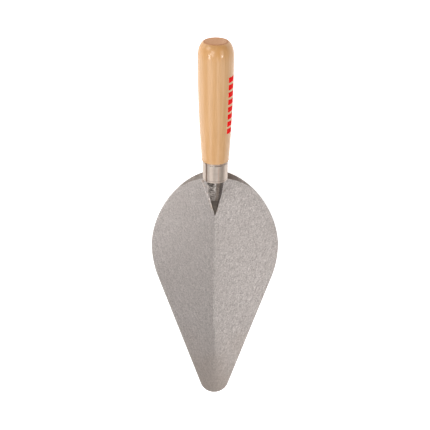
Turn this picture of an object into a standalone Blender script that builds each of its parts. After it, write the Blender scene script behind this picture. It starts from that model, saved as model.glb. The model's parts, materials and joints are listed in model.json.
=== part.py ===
"""Brick trowel: ground blade, forged shank with a square tang, steel ferrule and turned wooden handle.

Frame: X runs across the blade, +Y towards the butt of the handle and +Z up. The blade's underside
lies on Z = 0, and the object's bounding box is centred on X = 0 and Y = 0.
"""

import math

import bmesh
import bpy
from mathutils import Matrix, Vector

# Clearance between pieces that touch or sit inside one another.
GAP = 0.0003

# Blade, seen from above. Its outline is a full heel curve, a side arc, a straight taper and a round tip.
BLADE_LENGTH = 0.2220
BLADE_HALF_WIDTH = 0.0598
HEEL_LENGTH = 0.0720
HEEL_FULLNESS = 1.80
SIDE_ARC_RADIUS = 0.0920
TAPER_ANGLE = math.radians(20.65)
HEEL_STEPS = 26
ARC_STEPS = 8
TAPER_STEPS = 9
TIP_STEPS = 10

# Blade, seen from the side. Two ground facets meet in a crease that runs down the middle.
ROOT_THICKNESS = 0.0076
RIDGE_AT_NECK_TIP = 0.0058
TIP_THICKNESS = 0.0014
RIDGE_FALL = 0.9
EDGE_THICKNESS = 0.0009
EDGE_LAND = 0.0005
SHOULDER_HALF_WIDTH = 0.0340
NECK_FOOT_LENGTH = 0.0420

# Handle axis: it starts at the ferrule's lower end and rises towards the butt.
HANDLE_RISE = math.radians(11.0)
FERRULE_SETBACK = 0.0009
FERRULE_HEIGHT = 0.0387

# Ferrule: a drawn steel cup with a rolled-in lower end and a beaded mouth.
FERRULE_RADIUS = 0.0112
FERRULE_LENGTH = 0.0186
FERRULE_WALL = 0.0008
FERRULE_BEAD = 0.0004
BEAD_BELOW_MOUTH = 0.0009
FERRULE_HOLE_RADIUS = 0.0086
FERRULE_CORNER = 0.0010

# Handle, measured along its axis from the ferrule's lower end.
HANDLE_END = 0.1301
SHOULDER_AT = FERRULE_LENGTH + GAP
SHOULDER_RADIUS = 0.0123
SHOULDER_ROUND = 0.0011
BELLY_AT = 0.1166
BELLY_RADIUS = 0.0161
BELLY_FULLNESS = 1.9
BUTT_FACE_RADIUS = 0.0104
BUTT_ARC = math.radians(78.0)
TENON_FROM = 0.0032
TENON_CHAMFER = 0.0012
BUTT_STEPS = 9
GRIP_STEPS = 14

# Shank: a swan neck that tapers to a point on the blade, then a shoulder and a square tang.
NECK_RADIUS = 0.0078
NECK_WAIST = 0.0063
NECK_FOOT_POWER = 0.8
WAIST_SHARE = 0.45
NECK_TIP_HALF_WIDTH = 0.0004
NECK_TIP_RISE = 0.0005
UPPER_LANDING = 0.0260
LOWER_LANDING = 0.0460
LOWER_DIP = 0.0080
UPPER_BEND = 0.0268
LOWER_BEND = 0.0200
FOOT_SQUARENESS = 0.6
NECK_SIDES = 32
NECK_STATIONS = 32
TANG_FROM = TENON_FROM - GAP
TANG_LENGTH = 0.0800
TANG_HALF_WIDTH = 0.0036
TANG_END_HALF_WIDTH = 0.0018
TANG_ROOT = 0.0020

# Weld fillets that join both sides of the neck's foot to the blade. They spread towards the heel.
WELD_LEAST_TOE = 0.0013
WELD_SPREAD = 0.36
WELD_HEIGHT = 0.0020
WELD_LEAST_HEIGHT = 0.0012
WELD_SHARE_OF_NECK = 0.40
WELD_BITE = 0.0016
WELD_FALL = 0.0065
WELD_BEHIND_TIP = 0.0072
WELD_STEPS = 18

ROUND_STEPS = 64

# The bounding box runs from the blade's tip to the lower edge of the butt face.
OVERALL_LENGTH = (
    BLADE_LENGTH
    + FERRULE_SETBACK
    + HANDLE_END * math.cos(HANDLE_RISE)
    + BUTT_FACE_RADIUS * math.sin(HANDLE_RISE)
)
TIP_Y = -OVERALL_LENGTH / 2
HEEL_Y = TIP_Y + BLADE_LENGTH
WIDEST_Y = HEEL_Y - HEEL_LENGTH
NECK_TIP_Y = HEEL_Y - NECK_FOOT_LENGTH
WELD_CLOSES_Y = HEEL_Y - 0.0195
FERRULE_END = Vector((0, HEEL_Y + FERRULE_SETBACK, FERRULE_HEIGHT))
HANDLE_AXIS = Vector((0, math.cos(HANDLE_RISE), math.sin(HANDLE_RISE)))


def clear_scene():
    for obj in list(bpy.data.objects):
        bpy.data.objects.remove(obj, do_unlink=True)


def new_collection(name):
    collection = bpy.data.collections.new(name)
    bpy.context.scene.collection.children.link(collection)
    return collection


def new_material(name, colour, metallic, roughness):
    material = bpy.data.materials.new(name)
    material.use_nodes = True
    shader = material.node_tree.nodes["Principled BSDF"]
    shader.inputs["Base Color"].default_value = (*colour, 1)
    shader.inputs["Metallic"].default_value = metallic
    shader.inputs["Roughness"].default_value = roughness
    return material


def new_mesh_object(name, points, faces, collection, material=None):
    mesh = bpy.data.meshes.new(name)
    mesh.from_pydata([tuple(point) for point in points], [], faces)
    obj = bpy.data.objects.new(name, mesh)
    collection.objects.link(obj)
    if material:
        mesh.materials.append(material)
    return obj


def face_outwards(obj):
    work = bmesh.new()
    work.from_mesh(obj.data)
    bmesh.ops.recalc_face_normals(work, faces=work.faces)
    work.to_mesh(obj.data)
    work.free()


def smooth(obj, angle=math.radians(35)):
    for polygon in obj.data.polygons:
        polygon.use_smooth = True
    obj.data.set_sharp_from_angle(angle=angle)


def boolean(obj, cutter, operation):
    modifier = obj.modifiers.new(operation.lower() + "_" + cutter.name, "BOOLEAN")
    modifier.operation = operation
    modifier.solver = "EXACT"
    modifier.object = cutter


def handle_frame(collection):
    """An empty at the ferrule's lower end, whose own Z axis is the handle's axis."""
    frame = bpy.data.objects.new("handle_frame", None)
    collection.objects.link(frame)
    frame.location = FERRULE_END
    frame.rotation_euler = (HANDLE_RISE - math.pi / 2, 0, 0)
    return frame


# Blade ------------------------------------------------------------------------------------------


def blade_outline():
    """Points (x, y) of the right half of the outline, from the heel to the tip."""
    outline = []
    for step in range(HEEL_STEPS + 1):
        turn = math.pi / 2 * step / HEEL_STEPS
        x = BLADE_HALF_WIDTH * math.sin(turn) ** (2 / HEEL_FULLNESS)
        y = WIDEST_Y + HEEL_LENGTH * max(math.cos(turn), 0) ** (2 / HEEL_FULLNESS)
        outline.append((x, y))
    for step in range(1, ARC_STEPS + 1):
        turn = TAPER_ANGLE * step / ARC_STEPS
        x = BLADE_HALF_WIDTH - SIDE_ARC_RADIUS * (1 - math.cos(turn))
        y = WIDEST_Y - SIDE_ARC_RADIUS * math.sin(turn)
        outline.append((x, y))
    taper_x, taper_y = outline[-1]
    # The tip is the circle that touches both straight sides and ends at TIP_Y.
    apex_y = taper_y - taper_x / math.tan(TAPER_ANGLE)
    tip_radius = (TIP_Y - apex_y) / (1 / math.sin(TAPER_ANGLE) - 1)
    tip_centre_y = TIP_Y + tip_radius
    touch_x = tip_radius * math.cos(TAPER_ANGLE)
    touch_y = tip_centre_y - tip_radius * math.sin(TAPER_ANGLE)
    for step in range(1, TAPER_STEPS + 1):
        share = step / TAPER_STEPS
        outline.append((taper_x + (touch_x - taper_x) * share, taper_y + (touch_y - taper_y) * share))
    for step in range(1, TIP_STEPS + 1):
        turn = TAPER_ANGLE + (math.pi / 2 - TAPER_ANGLE) * step / TIP_STEPS
        outline.append((tip_radius * math.cos(turn), tip_centre_y - tip_radius * math.sin(turn)))
    outline[0] = (0, HEEL_Y)
    outline[-1] = (0, TIP_Y)
    return outline


def ridge_height(y):
    """Height of the crease above the underside."""
    if y > NECK_TIP_Y:
        share = (y - NECK_TIP_Y) / NECK_FOOT_LENGTH
        return RIDGE_AT_NECK_TIP + (ROOT_THICKNESS - RIDGE_AT_NECK_TIP) * share
    share = (y - TIP_Y) / (NECK_TIP_Y - TIP_Y)
    return TIP_THICKNESS + (RIDGE_AT_NECK_TIP - TIP_THICKNESS) * max(share, 0) ** RIDGE_FALL


def facet_half_width(y):
    """Distance from the crease at which the facet has thinned to the edge thickness.

    It is the outline's half width below the widest place, and stays the same from there to the heel."""
    along = max(WIDEST_Y - y, 0)
    along_arc = min(along, SIDE_ARC_RADIUS * math.sin(TAPER_ANGLE))
    on_arc = BLADE_HALF_WIDTH - SIDE_ARC_RADIUS + math.sqrt(SIDE_ARC_RADIUS**2 - along_arc**2)
    return on_arc - (along - along_arc) * math.tan(TAPER_ANGLE)


def blade_top(x, y):
    """Height of the ground surface above the underside."""
    share = max(1 - abs(x) / facet_half_width(y), 0)
    return EDGE_THICKNESS + (ridge_height(y) - EDGE_THICKNESS) * share


def shoulder_depth(x, y):
    """How far the shoulder leans inwards: about as far as it is tall beside the neck, and little at the sides."""
    least = EDGE_THICKNESS - EDGE_LAND
    if y < WIDEST_Y:
        return least
    return least + (ridge_height(y) - EDGE_THICKNESS) * max(1 - x / SHOULDER_HALF_WIDTH, 0)


def shoulder_ring(outline):
    """The outline moved inwards by the shoulder's depth."""
    ring = []
    for index, (x, y) in enumerate(outline):
        before = outline[max(index - 1, 0)]
        after = outline[min(index + 1, len(outline) - 1)]
        along = Vector((after[0] - before[0], after[1] - before[1]))
        if index in (0, len(outline) - 1):
            along = Vector((1, 0)) if index == 0 else Vector((-1, 0))
        inwards = Vector((along.y, -along.x)).normalized()
        depth = shoulder_depth(x, y)
        ring.append((max(x + inwards.x * depth, 0), y + inwards.y * depth))
    return ring


def blade_mesh(name, collection, material=None, lift=0.0):
    """The blade as rings of points. Lift raises its upper faces, for the cutter that clears it."""
    outline = blade_outline()
    inner = shoulder_ring(outline)
    last = len(outline) - 1
    both_sides = [(x, y, 1) for x, y in outline] + [(-x, y, -1) for x, y in outline[last - 1 : 0 : -1]]
    inner_both = inner + [(-x, y) for x, y in inner[last - 1 : 0 : -1]]
    count = len(both_sides)
    points = [(x, y, 0) for x, y, _ in both_sides]
    points += [(x, y, EDGE_LAND + lift) for x, y, _ in both_sides]
    points += [(x, y, blade_top(x, y) + lift) for x, y in inner_both]
    faces = []
    for ring in range(2):
        for step in range(count):
            after = (step + 1) % count
            low = ring * count
            faces.append((low + step, low + after, low + count + after, low + count + step))
    # Each facet is ruled straight across, from the shoulder ring to the crease.
    crease = len(points)
    points += [(0, inner[step][1], blade_top(0, inner[step][1]) + lift) for step in range(1, last)]
    top = 2 * count
    for side in (1, -1):
        for step in range(last):
            edge_a = top + (step if side == 1 else (count - step) % count)
            edge_b = top + (step + 1 if side == 1 else count - step - 1)
            middle_a = crease + step - 1 if step else top
            middle_b = crease + step if step < last - 1 else top + last
            corners = [edge_a, edge_b, middle_b, middle_a]
            faces.append(tuple(dict.fromkeys(corners)))
    # The underside is flat, in strips that join the two sides.
    for step in range(last):
        corners = [step, step + 1, (count - step - 1) % count, (count - step) % count]
        faces.append(tuple(dict.fromkeys(corners)))
    obj = new_mesh_object(name, points, faces, collection, material)
    face_outwards(obj)
    return obj


# Shank ------------------------------------------------------------------------------------------


def cubic(start, lean_out, lean_in, end, share):
    """A point on the cubic curve that leaves start towards lean_out and reaches end from lean_in."""
    rest = 1 - share
    point = start * rest**3 + lean_out * 3 * rest**2 * share
    return point + lean_in * 3 * rest * share**2 + end * share**3


def neck_lines(share):
    """The neck's upper and lower lines in the plane X = 0, from its point on the blade to its top."""
    middle = FERRULE_END + HANDLE_AXIS * TANG_FROM
    off_axis = Vector((0, -HANDLE_AXIS.z, HANDLE_AXIS.y)) * NECK_RADIUS
    on_blade = Vector((0, NECK_TIP_Y, ridge_height(NECK_TIP_Y)))
    upper_start = on_blade + Vector((0, 0, NECK_TIP_RISE))
    upper_lean = upper_start + Vector((0, UPPER_LANDING, 0))
    upper_end = middle + off_axis
    upper = cubic(upper_start, upper_lean, upper_end - HANDLE_AXIS * UPPER_BEND, upper_end, share)
    # The lower line starts inside the blade, which is cut away, and comes out of it near the heel.
    lower_start = on_blade - Vector((0, 0, 2 * NECK_TIP_RISE))
    lower_lean = lower_start + Vector((0, LOWER_LANDING, -LOWER_DIP))
    lower_end = middle - off_axis
    lower = cubic(lower_start, lower_lean, lower_end - HANDLE_AXIS * LOWER_BEND, lower_end, share)
    return upper, lower


def neck_half_width(share):
    """Grows from the point to the waist, then eases out to the round neck under the ferrule."""
    if share < WAIST_SHARE:
        grow = math.sin(math.pi / 2 * share / WAIST_SHARE) ** NECK_FOOT_POWER
        return NECK_TIP_HALF_WIDTH + (NECK_WAIST - NECK_TIP_HALF_WIDTH) * grow
    grow = (share - WAIST_SHARE) / (1 - WAIST_SHARE)
    return NECK_WAIST + (NECK_RADIUS - NECK_WAIST) * grow * grow * (3 - 2 * grow)


def neck_mesh(name, collection, material=None, swell=0.0):
    """The swan neck as a loft of superellipses along its path. Swell makes it larger, for a cutter."""
    points = []
    faces = []
    for station in range(NECK_STATIONS + 1):
        share = station / NECK_STATIONS
        upper, lower = neck_lines(share)
        centre = (upper + lower) / 2
        upwards = (upper - lower).normalized()
        height = (upper - lower).length / 2 + swell
        width = neck_half_width(share) + swell
        power = 2 / (2 + FOOT_SQUARENESS * (1 - share))
        for side in range(NECK_SIDES):
            turn = 2 * math.pi * side / NECK_SIDES
            across = math.copysign(abs(math.sin(turn)) ** power, math.sin(turn))
            up = math.copysign(abs(math.cos(turn)) ** power, math.cos(turn))
            point = centre + upwards * up * height
            point.x += across * width
            points.append(point)
    for station in range(NECK_STATIONS):
        for side in range(NECK_SIDES):
            after = (side + 1) % NECK_SIDES
            low = station * NECK_SIDES
            high = low + NECK_SIDES
            faces.append((low + side, high + side, high + after, low + after))
    faces.append(tuple(range(NECK_SIDES)))
    last = NECK_STATIONS * NECK_SIDES
    faces.append(tuple(reversed(range(last, last + NECK_SIDES))))
    obj = new_mesh_object(name, points, faces, collection, material)
    face_outwards(obj)
    return obj


def square_taper(name, collection, frame, start, end, wide, narrow):
    """A square taper along the handle's axis: a four-sided cone, turned so that its flats face X."""
    mesh = bpy.data.meshes.new(name)
    work = bmesh.new()
    bmesh.ops.create_cone(
        work,
        cap_ends=True,
        segments=4,
        radius1=wide * math.sqrt(2),
        radius2=narrow * math.sqrt(2),
        depth=end - start,
    )
    bmesh.ops.rotate(work, verts=work.verts, matrix=Matrix.Rotation(math.pi / 4, 3, "Z"))
    work.to_mesh(mesh)
    work.free()
    obj = bpy.data.objects.new(name, mesh)
    collection.objects.link(obj)
    obj.parent = frame
    obj.location.z = (start + end) / 2
    return obj


# Welds ------------------------------------------------------------------------------------------


def neck_share_at(y):
    """The share of the path at which the neck's upper line passes over y."""
    low, high = 0.0, 1.0
    for _ in range(30):
        middle = (low + high) / 2
        if neck_lines(middle)[0].y < y:
            low = middle
        else:
            high = middle
    return low


def weld_section(y):
    """Inner edge, toe and height of the weld where it crosses y, all clear of the neck's top."""
    share = neck_share_at(y)
    toe = WELD_LEAST_TOE + WELD_SPREAD * (y - NECK_TIP_Y)
    # Beside the neck the weld starts just inside its flank, and behind it at the middle of the blade.
    beside = min(max((WELD_CLOSES_Y - y) / WELD_FALL, 0), 1)
    inner = GAP / 2 + max(neck_half_width(share) - WELD_BITE, 0) * beside
    neck_height = neck_lines(share)[0].z - blade_top(0, y)
    height = min(WELD_SHARE_OF_NECK * neck_height, WELD_HEIGHT)
    fall = min(max((HEEL_Y - ROOT_THICKNESS - y) / WELD_FALL, 0), 1)
    return inner, toe, WELD_LEAST_HEIGHT + (height - WELD_LEAST_HEIGHT) * math.sin(math.pi / 2 * fall)


def weld_mesh(name, collection, material, side):
    """A fillet beside the neck's foot, from just behind its point to the heel. Side is +1 or -1."""
    start_y = NECK_TIP_Y + WELD_BEHIND_TIP
    end_y = HEEL_Y - ROOT_THICKNESS - GAP
    under = -1
    profile = ((0, under), (1, under), (1, 0.03), (0.80, 0.12), (0.58, 0.32), (0.40, 0.62), (0.28, 1), (0, 1))
    points = []
    faces = []
    for step in range(WELD_STEPS + 1):
        y = start_y + (end_y - start_y) * step / WELD_STEPS
        inner, toe, height = weld_section(y)
        for out, up in profile:
            x = inner + (toe - inner) * out
            above = -5 * GAP if up == under else GAP + height * up
            points.append((side * x, y, blade_top(x, y) + above))
    size = len(profile)
    for step in range(WELD_STEPS):
        for corner in range(size):
            after = (corner + 1) % size
            low = step * size
            faces.append((low + corner, low + after, low + size + after, low + size + corner))
    faces.append(tuple(range(size)))
    faces.append(tuple(reversed(range(WELD_STEPS * size, (WELD_STEPS + 1) * size))))
    obj = new_mesh_object(name, points, faces, collection, material)
    face_outwards(obj)
    return obj


# Turned pieces ----------------------------------------------------------------------------------


def turned(name, profile, closed, collection, material, frame):
    """A solid turned about the handle's axis. The profile holds (radius, distance along the axis)."""
    mesh = bpy.data.meshes.new(name)
    count = len(profile)
    edges = [(step, step + 1) for step in range(count - 1)]
    if closed:
        edges.append((count - 1, 0))
    mesh.from_pydata([(radius, 0, along) for radius, along in profile], edges, [])
    mesh.materials.append(material)
    obj = bpy.data.objects.new(name, mesh)
    collection.objects.link(obj)
    screw = obj.modifiers.new("turn", "SCREW")
    screw.steps = ROUND_STEPS
    screw.render_steps = ROUND_STEPS
    screw.use_merge_vertices = True
    screw.merge_threshold = 0.00001
    screw.use_smooth_shade = True
    obj.parent = frame
    return obj


def arc(centre, radius, start, end, steps):
    """Points (radius, along) of a quarter or other arc, its angles measured from the radial direction."""
    points = []
    for step in range(steps + 1):
        turn = math.radians(start + (end - start) * step / steps)
        points.append((centre[0] + radius * math.cos(turn), centre[1] + radius * math.sin(turn)))
    return points


def handle_profile():
    """From the butt face down the outside to the tenon's end."""
    profile = [(0, HANDLE_END), (BUTT_FACE_RADIUS, HANDLE_END)]
    # The butt is rounded over by part of an ellipse, which meets the belly in a smooth line.
    reach = (HANDLE_END - BELLY_AT) / math.sin(BUTT_ARC)
    drop = (BELLY_RADIUS - BUTT_FACE_RADIUS) / (1 - math.cos(BUTT_ARC))
    for step in range(BUTT_STEPS - 1, -1, -1):
        turn = BUTT_ARC * step / BUTT_STEPS
        along = BELLY_AT + reach * math.sin(turn)
        profile.append((BELLY_RADIUS - drop * (1 - math.cos(turn)), along))
    low = SHOULDER_AT + SHOULDER_ROUND
    for step in range(1, GRIP_STEPS + 1):
        share = 1 - step / GRIP_STEPS
        radius = SHOULDER_RADIUS + (BELLY_RADIUS - SHOULDER_RADIUS) * (1 - (1 - share) ** BELLY_FULLNESS)
        profile.append((radius, low + (BELLY_AT - low) * share))
    rounding = arc((SHOULDER_RADIUS - SHOULDER_ROUND, low), SHOULDER_ROUND, 0, -90, 5)
    profile += rounding[1:]
    tenon = FERRULE_RADIUS - FERRULE_WALL - GAP
    profile.append((tenon, SHOULDER_AT))
    profile.append((tenon, TENON_FROM + TENON_CHAMFER))
    profile.append((tenon - TENON_CHAMFER, TENON_FROM))
    profile.append((0, TENON_FROM))
    return profile


def ferrule_profile():
    """From the mouth down the outside, round the lower corner and up the inside."""
    inner = FERRULE_RADIUS - FERRULE_WALL
    profile = [(inner, FERRULE_LENGTH), (FERRULE_RADIUS, FERRULE_LENGTH)]
    profile += arc((FERRULE_RADIUS, FERRULE_LENGTH - BEAD_BELOW_MOUTH), FERRULE_BEAD, 70, -70, 6)
    corner = FERRULE_CORNER
    profile += arc((FERRULE_RADIUS - corner, corner), corner, 0, -90, 8)
    profile.append((FERRULE_HOLE_RADIUS, 0))
    profile.append((FERRULE_HOLE_RADIUS, FERRULE_WALL))
    profile.append((FERRULE_RADIUS - corner, FERRULE_WALL))
    profile += arc((FERRULE_RADIUS - corner, corner), corner - FERRULE_WALL, -70, 0, 4)
    return profile


# Assembly ---------------------------------------------------------------------------------------


def build():
    clear_scene()
    trowel = new_collection("brick_trowel")
    cutters = new_collection("cutters")
    cutters.hide_render = True

    ground_steel = new_material("ground_steel", (0.42, 0.40, 0.39), 1.0, 0.45)
    forged_steel = new_material("forged_steel", (0.07, 0.068, 0.064), 0.8, 0.6)
    left_weld_steel = new_material("weld_steel_left", (0.33, 0.30, 0.28), 1.0, 0.5)
    right_weld_steel = new_material("weld_steel_right", (0.33, 0.30, 0.28), 1.0, 0.5)
    plated_steel = new_material("plated_steel", (0.62, 0.57, 0.53), 1.0, 0.3)
    lacquered_wood = new_material("lacquered_wood", (0.74, 0.46, 0.23), 0.0, 0.35)

    frame = handle_frame(trowel)
    blade_mesh("blade", trowel, ground_steel)

    blade_clearance = blade_mesh("blade_clearance", cutters, lift=GAP)
    neck_clearance = neck_mesh("neck_clearance", cutters, swell=GAP)
    tang_end = TANG_FROM + TANG_LENGTH
    tang = square_taper(
        "tang", cutters, frame, TANG_FROM - TANG_ROOT, tang_end, TANG_HALF_WIDTH, TANG_END_HALF_WIDTH
    )
    mortise = square_taper(
        "mortise",
        cutters,
        frame,
        TANG_FROM - TANG_ROOT,
        tang_end + GAP,
        TANG_HALF_WIDTH + GAP,
        TANG_END_HALF_WIDTH + GAP,
    )

    shank = neck_mesh("shank", trowel, forged_steel)
    smooth(shank)
    boolean(shank, blade_clearance, "DIFFERENCE")
    boolean(shank, tang, "UNION")

    for name, side, material in (("weld_left", -1, left_weld_steel), ("weld_right", 1, right_weld_steel)):
        weld = weld_mesh(name, trowel, material, side)
        boolean(weld, blade_clearance, "DIFFERENCE")
        boolean(weld, neck_clearance, "DIFFERENCE")

    turned("ferrule", ferrule_profile(), True, trowel, plated_steel, frame)
    handle = turned("handle", handle_profile(), False, trowel, lacquered_wood, frame)
    boolean(handle, mortise, "DIFFERENCE")

    for cutter in cutters.objects:
        cutter.hide_render = True
        cutter.display_type = "WIRE"


build()
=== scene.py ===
"""Brick trowel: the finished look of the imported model.

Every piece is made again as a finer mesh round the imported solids: X runs across the blade, +Y towards the
butt of the handle and +Z up. Lengths are in metres.
"""

import json
import math

import bpy
from mathutils import Matrix, Vector, noise


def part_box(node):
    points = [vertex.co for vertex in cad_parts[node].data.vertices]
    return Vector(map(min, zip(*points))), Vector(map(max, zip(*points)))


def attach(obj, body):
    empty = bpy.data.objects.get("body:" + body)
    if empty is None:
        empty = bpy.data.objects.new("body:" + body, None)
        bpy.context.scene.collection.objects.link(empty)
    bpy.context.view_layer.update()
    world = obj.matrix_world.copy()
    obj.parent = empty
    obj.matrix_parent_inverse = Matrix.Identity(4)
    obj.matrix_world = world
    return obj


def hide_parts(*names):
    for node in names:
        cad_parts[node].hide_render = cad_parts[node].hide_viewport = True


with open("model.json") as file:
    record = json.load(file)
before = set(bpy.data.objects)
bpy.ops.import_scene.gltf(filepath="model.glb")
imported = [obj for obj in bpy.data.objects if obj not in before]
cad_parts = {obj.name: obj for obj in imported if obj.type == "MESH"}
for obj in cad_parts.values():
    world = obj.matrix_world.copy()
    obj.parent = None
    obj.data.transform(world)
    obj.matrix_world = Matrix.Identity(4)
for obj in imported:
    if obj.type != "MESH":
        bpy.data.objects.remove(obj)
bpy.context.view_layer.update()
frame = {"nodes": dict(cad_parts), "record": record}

MM = 0.001

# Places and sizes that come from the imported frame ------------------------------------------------

blade_low, blade_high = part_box("blade")
TIP_Y = blade_low.y
HEEL_Y = blade_high.y
HALF_WIDTH = blade_high.x

butt_face = next(mount for mount in frame["record"]["mounts"] if mount["name"] == "butt_face")
HANDLE_AXIS = Vector(butt_face["axis"]).normalized()
BUTT_CENTRE = Vector(butt_face["pos_m"])


def span_along_handle(node):
    """Nearest and furthest distance of a node from the butt face, along the handle's axis."""
    vertices = frame["nodes"][node].data.vertices
    distances = [(BUTT_CENTRE - vertex.co).dot(HANDLE_AXIS) for vertex in vertices]
    return min(distances), max(distances)


HANDLE_END = span_along_handle("ferrule")[1]
FERRULE_LENGTH = HANDLE_END - span_along_handle("ferrule")[0]
TENON_FROM = HANDLE_END - span_along_handle("handle")[1]
TANG_END = HANDLE_END - span_along_handle("shank")[0]
FERRULE_END = BUTT_CENTRE - HANDLE_AXIS * HANDLE_END

# The handle's own frame: Z along its axis, X across the blade and -Y on the side that faces up.
HANDLE_FRAME = Matrix.Identity(4)
for column, direction in enumerate((Vector((1, 0, 0)), HANDLE_AXIS.cross(Vector((1, 0, 0))), HANDLE_AXIS)):
    for row in range(3):
        HANDLE_FRAME[row][column] = direction[row]
HANDLE_FRAME.translation = FERRULE_END

# Blade
HEEL_LENGTH = 72.0 * MM
HEEL_FULLNESS = 1.80
SIDE_ARC_RADIUS = 92.0 * MM
TAPER_ANGLE = math.radians(20.65)
ROOT_THICKNESS = 7.6 * MM
RIDGE_AT_NECK_TIP = 5.8 * MM
TIP_THICKNESS = 1.4 * MM
RIDGE_FALL = 0.9
EDGE_THICKNESS = 0.9 * MM
EDGE_LAND = 0.5 * MM
SHOULDER_HALF_WIDTH = 34.0 * MM
NECK_FOOT_LENGTH = 42.0 * MM
WIDEST_Y = HEEL_Y - HEEL_LENGTH
CREASE_FADES_Y = TIP_Y + 58.0 * MM
CREASE_ENDS_Y = TIP_Y + 22.0 * MM
NECK_TIP_Y = HEEL_Y - NECK_FOOT_LENGTH

# Neck and tang
NECK_RADIUS = 7.8 * MM
NECK_WAIST = 6.3 * MM
NECK_FOOT_POWER = 0.8
WAIST_SHARE = 0.45
NECK_TIP_HALF_WIDTH = 0.4 * MM
NECK_TIP_RISE = 0.5 * MM
UPPER_LANDING = 26.0 * MM
LOWER_LANDING = 46.0 * MM
LOWER_DIP = 8.0 * MM
UPPER_BEND = 26.8 * MM
LOWER_BEND = 20.0 * MM
FOOT_SQUARENESS = 0.6
TANG_HALF_WIDTH = 3.6 * MM
TANG_END_HALF_WIDTH = 1.8 * MM

# Ferrule
FERRULE_RADIUS = 11.2 * MM
FERRULE_WALL = 0.8 * MM
FERRULE_BEAD = 0.4 * MM
FERRULE_HOLE_RADIUS = 8.6 * MM
FERRULE_CORNER = 1.0 * MM
GROOVE_AT = 1.95 * MM
GROOVE_HALF_WIDTH = 0.10 * MM
GROOVE_DEPTH = 0.12 * MM

# Handle
SHOULDER_RADIUS = 12.3 * MM
SHOULDER_ROUND = 1.1 * MM
BELLY_AT = 116.6 * MM
BELLY_RADIUS = 16.1 * MM
BELLY_FULLNESS = 1.9
BUTT_FACE_RADIUS = 10.4 * MM
BUTT_ARC = math.radians(78.0)

# Camera: it looks down on the ground face, tilted towards the butt end.
CAMERA_TILT = math.radians(15.0)
CAMERA_DISTANCE = 1.240
CAMERA_ROLL = math.radians(0.3)
CAMERA_TARGET = Vector((0.0000, 0.0028, 0.0020))
CAMERA_LENS = 110.5
CAMERA_SENSOR = 36.0


# Small helpers ------------------------------------------------------------------------------------


def ease(low, high, value):
    """0 below low, 1 above high and smooth between them."""
    share = min(max((value - low) / (high - low), 0), 1)
    return share * share * (3 - 2 * share)


def mesh_piece(name, points, faces, materials, node):
    mesh = bpy.data.meshes.new(name)
    mesh.from_pydata([tuple(point) for point in points], [], faces)
    mesh.validate()
    for material in materials:
        mesh.materials.append(material)
    for polygon in mesh.polygons:
        polygon.use_smooth = True
    obj = bpy.data.objects.new(name, mesh)
    bpy.context.scene.collection.objects.link(obj)
    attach(obj, "root")
    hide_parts(node)
    return obj


def tube_faces(rings, sides):
    """Faces between rings of points, each ring closed. The first ring starts at point 0."""
    faces = []
    for ring in range(rings - 1):
        for side in range(sides):
            after = (side + 1) % sides
            low = ring * sides
            faces.append((low + side, low + after, low + sides + after, low + sides + side))
    return faces


def cubic(start, lean_out, lean_in, end, share):
    rest = 1 - share
    point = start * rest**3 + lean_out * 3 * rest**2 * share
    return point + lean_in * 3 * rest * share**2 + end * share**3


# Shader nodes ---------------------------------------------------------------------------------------


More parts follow.
